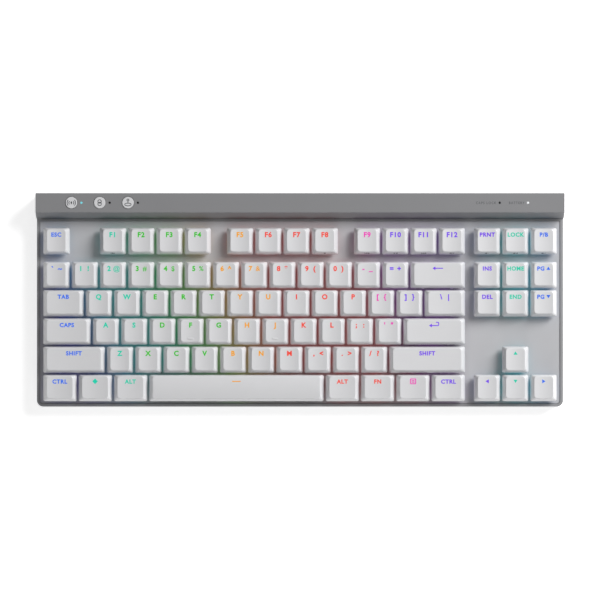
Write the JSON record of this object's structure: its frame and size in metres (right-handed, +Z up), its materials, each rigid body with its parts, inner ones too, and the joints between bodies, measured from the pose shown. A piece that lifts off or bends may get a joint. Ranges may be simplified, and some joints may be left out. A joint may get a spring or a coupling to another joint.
{
  "type": "mechanical keyboard",
  "caption": "Low-profile tenkeyless wireless keyboard with raised rear bar, dished keycaps over lit switches, folding rear feet and a cable socket.",
  "frame": {"origin": "middle of the footprint at table level, under the rubber pads", "axes": "+X to the typist's right, +Y away from the typist towards the rear bar, +Z up"},
  "size_m": [0.3562, 0.144, 0.022],
  "materials": {
    "case_plastic": "fine moulded texture",
    "bar_plastic": "satin",
    "deck_metal": "bead blasted",
    "keycap_plastic": "fine moulded texture",
    "button_plastic": "satin",
    "switch_plastic": "clear moulding",
    "circuit_board": "solder mask",
    "led": "epoxy",
    "silicone": "matt",
    "rubber": "matt",
    "steel": "drawn",
    "lens": "polished",
    "battery_foil": "foil pouch"
  },
  "bodies": {
    "case": {"bottom_case": "case_plastic", "rear_cover": "bar_plastic", "deck_plate": "deck_metal", "main_board": "circuit_board", "damper_sheet": "silicone", "key_leds": "led", "switch_bases": "switch_plastic", "switch_covers": "switch_plastic", "switch_springs": "steel", "stabiliser_clips": "switch_plastic", "controller_board": "circuit_board", "usb_socket": "steel", "button_board": "circuit_board", "indicator_lenses": "lens", "battery_cell": "battery_foil", "ribbon_cable": "switch_plastic", "rubber_pads": "rubber", "case_screws": "steel"},
    "foot_left_long": {"foot_left_long": "case_plastic"},
    "foot_left_short": {"foot_left_short": "case_plastic"},
    "foot_right_long": {"foot_right_long": "case_plastic"},
    "foot_right_short": {"foot_right_short": "case_plastic"},
    "power_slider": {"power_slider": "bar_plastic"},
    "button_wireless": {"button_wireless": "button_plastic"},
    "button_pairing": {"button_pairing": "button_plastic"},
    "button_game_mode": {"button_game_mode": "button_plastic"},
    "key_space": {"key_space": "keycap_plastic"},
    "key_enter": {"key_enter": "keycap_plastic"},
    "key_backspace": {"key_backspace": "keycap_plastic"},
    "key_shift_left": {"key_shift_left": "keycap_plastic"},
    "key_shift_right": {"key_shift_right": "keycap_plastic"},
    "key_esc": {"key_esc": "keycap_plastic"},
    "key_arrow_up": {"key_arrow_up": "keycap_plastic"},
    "key_arrow_down": {"key_arrow_down": "keycap_plastic"},
    "key_arrow_left": {"key_arrow_left": "keycap_plastic"},
    "key_arrow_right": {"key_arrow_right": "keycap_plastic"},
    "keys_qwert": {"keys_qwert": "keycap_plastic"},
    "keys_f1_f4": {"keys_f1_f4": "keycap_plastic"},
    "keys_navigation": {"keys_navigation": "keycap_plastic"},
    "keys_f5_f8": {"keys_f5_f8": "keycap_plastic"},
    "keys_f9_f12": {"keys_f9_f12": "keycap_plastic"},
    "keys_print_lock_pause": {"keys_print_lock_pause": "keycap_plastic"},
    "keys_digits_left": {"keys_digits_left": "keycap_plastic"},
    "keys_digits_right": {"keys_digits_right": "keycap_plastic"},
    "key_tab": {"key_tab": "keycap_plastic"},
    "keys_yuiop": {"keys_yuiop": "keycap_plastic"},
    "keys_brackets": {"keys_brackets": "keycap_plastic"},
    "key_caps_lock": {"key_caps_lock": "keycap_plastic"},
    "keys_asdfg": {"keys_asdfg": "keycap_plastic"},
    "keys_hjkl": {"keys_hjkl": "keycap_plastic"},
    "keys_semicolon_quote": {"keys_semicolon_quote": "keycap_plastic"},
    "keys_zxcvb": {"keys_zxcvb": "keycap_plastic"},
    "keys_nm_comma_slash": {"keys_nm_comma_slash": "keycap_plastic"},
    "keys_modifiers_left": {"keys_modifiers_left": "keycap_plastic"},
    "keys_modifiers_right": {"keys_modifiers_right": "keycap_plastic"},
    "stabiliser_space": {"stabiliser_space": "steel"},
    "stabiliser_enter": {"stabiliser_enter": "steel"},
    "stabiliser_backspace": {"stabiliser_backspace": "steel"},
    "stabiliser_shift_left": {"stabiliser_shift_left": "steel"},
    "stabiliser_shift_right": {"stabiliser_shift_right": "steel"}
  },
  "joints": [
    {"name": "foot_left_long_fold", "type": "hinge", "parent": "case", "child": "foot_left_long", "pos_m": [-0.142, 0.06705, 0.0027], "axis": [1, 0, 0], "range_deg": [0, 90]},
    {"name": "foot_left_short_fold", "type": "hinge", "parent": "case", "child": "foot_left_short", "pos_m": [-0.142, 0.06705, 0.0027], "axis": [1, 0, 0], "range_deg": [0, 90]},
    {"name": "foot_right_long_fold", "type": "hinge", "parent": "case", "child": "foot_right_long", "pos_m": [0.142, 0.06705, 0.0027], "axis": [1, 0, 0], "range_deg": [0, 90]},
    {"name": "foot_right_short_fold", "type": "hinge", "parent": "case", "child": "foot_right_short", "pos_m": [0.142, 0.06705, 0.0027], "axis": [1, 0, 0], "range_deg": [0, 90]},
    {"name": "power_slide", "type": "slide", "parent": "case", "child": "power_slider", "axis": [1, 0, 0], "range_m": [0, 0.003]},
    {"name": "button_wireless_press", "type": "slide", "parent": "case", "child": "button_wireless", "axis": [0, 0, -1], "range_m": [0, 0.0005], "stiffness_N_per_m": 1500, "springref_m": -0.0002},
    {"name": "button_pairing_press", "type": "slide", "parent": "case", "child": "button_pairing", "axis": [0, 0, -1], "range_m": [0, 0.0005], "stiffness_N_per_m": 1500, "springref_m": -0.0002},
    {"name": "button_game_mode_press", "type": "slide", "parent": "case", "child": "button_game_mode", "axis": [0, 0, -1], "range_m": [0, 0.0005], "stiffness_N_per_m": 1500, "springref_m": -0.0002},
    {"name": "key_space_press", "type": "slide", "parent": "case", "child": "key_space", "axis": [0, 0, -1], "range_m": [0, 0.0032], "stiffness_N_per_m": 94, "springref_m": -0.0032, "deforming": ["switch_springs"]},
    {"name": "key_enter_press", "type": "slide", "parent": "case", "child": "key_enter", "axis": [0, 0, -1], "range_m": [0, 0.0032], "stiffness_N_per_m": 94, "springref_m": -0.0032, "deforming": ["switch_springs"]},
    {"name": "key_backspace_press", "type": "slide", "parent": "case", "child": "key_backspace", "axis": [0, 0, -1], "range_m": [0, 0.0032], "stiffness_N_per_m": 94, "springref_m": -0.0032, "deforming": ["switch_springs"]},
    {"name": "key_shift_left_press", "type": "slide", "parent": "case", "child": "key_shift_left", "axis": [0, 0, -1], "range_m": [0, 0.0032], "stiffness_N_per_m": 94, "springref_m": -0.0032, "deforming": ["switch_springs"]},
    {"name": "key_shift_right_press", "type": "slide", "parent": "case", "child": "key_shift_right", "axis": [0, 0, -1], "range_m": [0, 0.0032], "stiffness_N_per_m": 94, "springref_m": -0.0032, "deforming": ["switch_springs"]},
    {"name": "key_esc_press", "type": "slide", "parent": "case", "child": "key_esc", "axis": [0, 0, -1], "range_m": [0, 0.0032], "stiffness_N_per_m": 94, "springref_m": -0.0032, "deforming": ["switch_springs"]},
    {"name": "key_arrow_up_press", "type": "slide", "parent": "case", "child": "key_arrow_up", "axis": [0, 0, -1], "range_m": [0, 0.0032], "stiffness_N_per_m": 94, "springref_m": -0.0032, "deforming": ["switch_springs"]},
    {"name": "key_arrow_down_press", "type": "slide", "parent": "case", "child": "key_arrow_down", "axis": [0, 0, -1], "range_m": [0, 0.0032], "stiffness_N_per_m": 94, "springref_m": -0.0032, "deforming": ["switch_springs"]},
    {"name": "key_arrow_left_press", "type": "slide", "parent": "case", "child": "key_arrow_left", "axis": [0, 0, -1], "range_m": [0, 0.0032], "stiffness_N_per_m": 94, "springref_m": -0.0032, "deforming": ["switch_springs"]},
    {"name": "key_arrow_right_press", "type": "slide", "parent": "case", "child": "key_arrow_right", "axis": [0, 0, -1], "range_m": [0, 0.0032], "stiffness_N_per_m": 94, "springref_m": -0.0032, "deforming": ["switch_springs"]},
    {"name": "keys_qwert_press", "type": "slide", "parent": "case", "child": "keys_qwert", "axis": [0, 0, -1], "range_m": [0, 0.0032], "stiffness_N_per_m": 470, "springref_m": -0.0032, "deforming": ["switch_springs"]},
    {"name": "keys_f1_f4_press", "type": "slide", "parent": "case", "child": "keys_f1_f4", "axis": [0, 0, -1], "range_m": [0, 0.0032], "stiffness_N_per_m": 376, "springref_m": -0.0032, "deforming": ["switch_springs"]},
    {"name": "keys_navigation_press", "type": "slide", "parent": "case", "child": "keys_navigation", "axis": [0, 0, -1], "range_m": [0, 0.0032], "stiffness_N_per_m": 564, "springref_m": -0.0032, "deforming": ["switch_springs"]},
    {"name": "keys_f5_f8_press", "type": "slide", "parent": "case", "child": "keys_f5_f8", "axis": [0, 0, -1], "range_m": [0, 0.0032], "stiffness_N_per_m": 376, "springref_m": -0.0032, "deforming": ["switch_springs"]},
    {"name": "keys_f9_f12_press", "type": "slide", "parent": "case", "child": "keys_f9_f12", "axis": [0, 0, -1], "range_m": [0, 0.0032], "stiffness_N_per_m": 376, "springref_m": -0.0032, "deforming": ["switch_springs"]},
    {"name": "keys_print_lock_pause_press", "type": "slide", "parent": "case", "child": "keys_print_lock_pause", "axis": [0, 0, -1], "range_m": [0, 0.0032], "stiffness_N_per_m": 282, "springref_m": -0.0032, "deforming": ["switch_springs"]},
    {"name": "keys_digits_left_press", "type": "slide", "parent": "case", "child": "keys_digits_left", "axis": [0, 0, -1], "range_m": [0, 0.0032], "stiffness_N_per_m": 564, "springref_m": -0.0032, "deforming": ["switch_springs"]},
    {"name": "keys_digits_right_press", "type": "slide", "parent": "case", "child": "keys_digits_right", "axis": [0, 0, -1], "range_m": [0, 0.0032], "stiffness_N_per_m": 658, "springref_m": -0.0032, "deforming": ["switch_springs"]},
    {"name": "key_tab_press", "type": "slide", "parent": "case", "child": "key_tab", "axis": [0, 0, -1], "range_m": [0, 0.0032], "stiffness_N_per_m": 94, "springref_m": -0.0032, "deforming": ["switch_springs"]},
    {"name": "keys_yuiop_press", "type": "slide", "parent": "case", "child": "keys_yuiop", "axis": [0, 0, -1], "range_m": [0, 0.0032], "stiffness_N_per_m": 470, "springref_m": -0.0032, "deforming": ["switch_springs"]},
    {"name": "keys_brackets_press", "type": "slide", "parent": "case", "child": "keys_brackets", "axis": [0, 0, -1], "range_m": [0, 0.0032], "stiffness_N_per_m": 282, "springref_m": -0.0032, "deforming": ["switch_springs"]},
    {"name": "key_caps_lock_press", "type": "slide", "parent": "case", "child": "key_caps_lock", "axis": [0, 0, -1], "range_m": [0, 0.0032], "stiffness_N_per_m": 94, "springref_m": -0.0032, "deforming": ["switch_springs"]},
    {"name": "keys_asdfg_press", "type": "slide", "parent": "case", "child": "keys_asdfg", "axis": [0, 0, -1], "range_m": [0, 0.0032], "stiffness_N_per_m": 470, "springref_m": -0.0032, "deforming": ["switch_springs"]},
    {"name": "keys_hjkl_press", "type": "slide", "parent": "case", "child": "keys_hjkl", "axis": [0, 0, -1], "range_m": [0, 0.0032], "stiffness_N_per_m": 376, "springref_m": -0.0032, "deforming": ["switch_springs"]},
    {"name": "keys_semicolon_quote_press", "type": "slide", "parent": "case", "child": "keys_semicolon_quote", "axis": [0, 0, -1], "range_m": [0, 0.0032], "stiffness_N_per_m": 188, "springref_m": -0.0032, "deforming": ["switch_springs"]},
    {"name": "keys_zxcvb_press", "type": "slide", "parent": "case", "child": "keys_zxcvb", "axis": [0, 0, -1], "range_m": [0, 0.0032], "stiffness_N_per_m": 470, "springref_m": -0.0032, "deforming": ["switch_springs"]},
    {"name": "keys_nm_comma_slash_press", "type": "slide", "parent": "case", "child": "keys_nm_comma_slash", "axis": [0, 0, -1], "range_m": [0, 0.0032], "stiffness_N_per_m": 470, "springref_m": -0.0032, "deforming": ["switch_springs"]},
    {"name": "keys_modifiers_left_press", "type": "slide", "parent": "case", "child": "keys_modifiers_left", "axis": [0, 0, -1], "range_m": [0, 0.0032], "stiffness_N_per_m": 282, "springref_m": -0.0032, "deforming": ["switch_springs"]},
    {"name": "keys_modifiers_right_press", "type": "slide", "parent": "case", "child": "keys_modifiers_right", "axis": [0, 0, -1], "range_m": [0, 0.0032], "stiffness_N_per_m": 376, "springref_m": -0.0032, "deforming": ["switch_springs"]},
    {"name": "stabiliser_space_turn", "type": "hinge", "parent": "case", "child": "stabiliser_space", "pos_m": [-0.04286, -0.06763, 0.0095], "axis": [1, 0, 0], "range_deg": [-26.1, 0]},
    {"name": "stabiliser_enter_turn", "type": "hinge", "parent": "case", "child": "stabiliser_enter", "pos_m": [0.09049, -0.02952, 0.0095], "axis": [1, 0, 0], "range_deg": [-26.1, 0]},
    {"name": "stabiliser_backspace_turn", "type": "hinge", "parent": "case", "child": "stabiliser_backspace", "pos_m": [0.09287, 0.00857, 0.0095], "axis": [1, 0, 0], "range_deg": [-26.1, 0]},
    {"name": "stabiliser_shift_left_turn", "type": "hinge", "parent": "case", "child": "stabiliser_shift_left", "pos_m": [-0.1524, -0.04858, 0.0095], "axis": [1, 0, 0], "range_deg": [-26.1, 0]},
    {"name": "stabiliser_shift_right_turn", "type": "hinge", "parent": "case", "child": "stabiliser_shift_right", "pos_m": [0.08573, -0.04858, 0.0095], "axis": [1, 0, 0], "range_deg": [-26.1, 0]}
  ],
  "couplings": [
    {"joint": "stabiliser_space_turn", "follows": "key_space_press", "rad_per_m": -141.5},
    {"joint": "stabiliser_enter_turn", "follows": "key_enter_press", "rad_per_m": -141.5},
    {"joint": "stabiliser_backspace_turn", "follows": "key_backspace_press", "rad_per_m": -141.5},
    {"joint": "stabiliser_shift_left_turn", "follows": "key_shift_left_press", "rad_per_m": -141.5},
    {"joint": "stabiliser_shift_right_turn", "follows": "key_shift_right_press", "rad_per_m": -141.5}
  ]
}
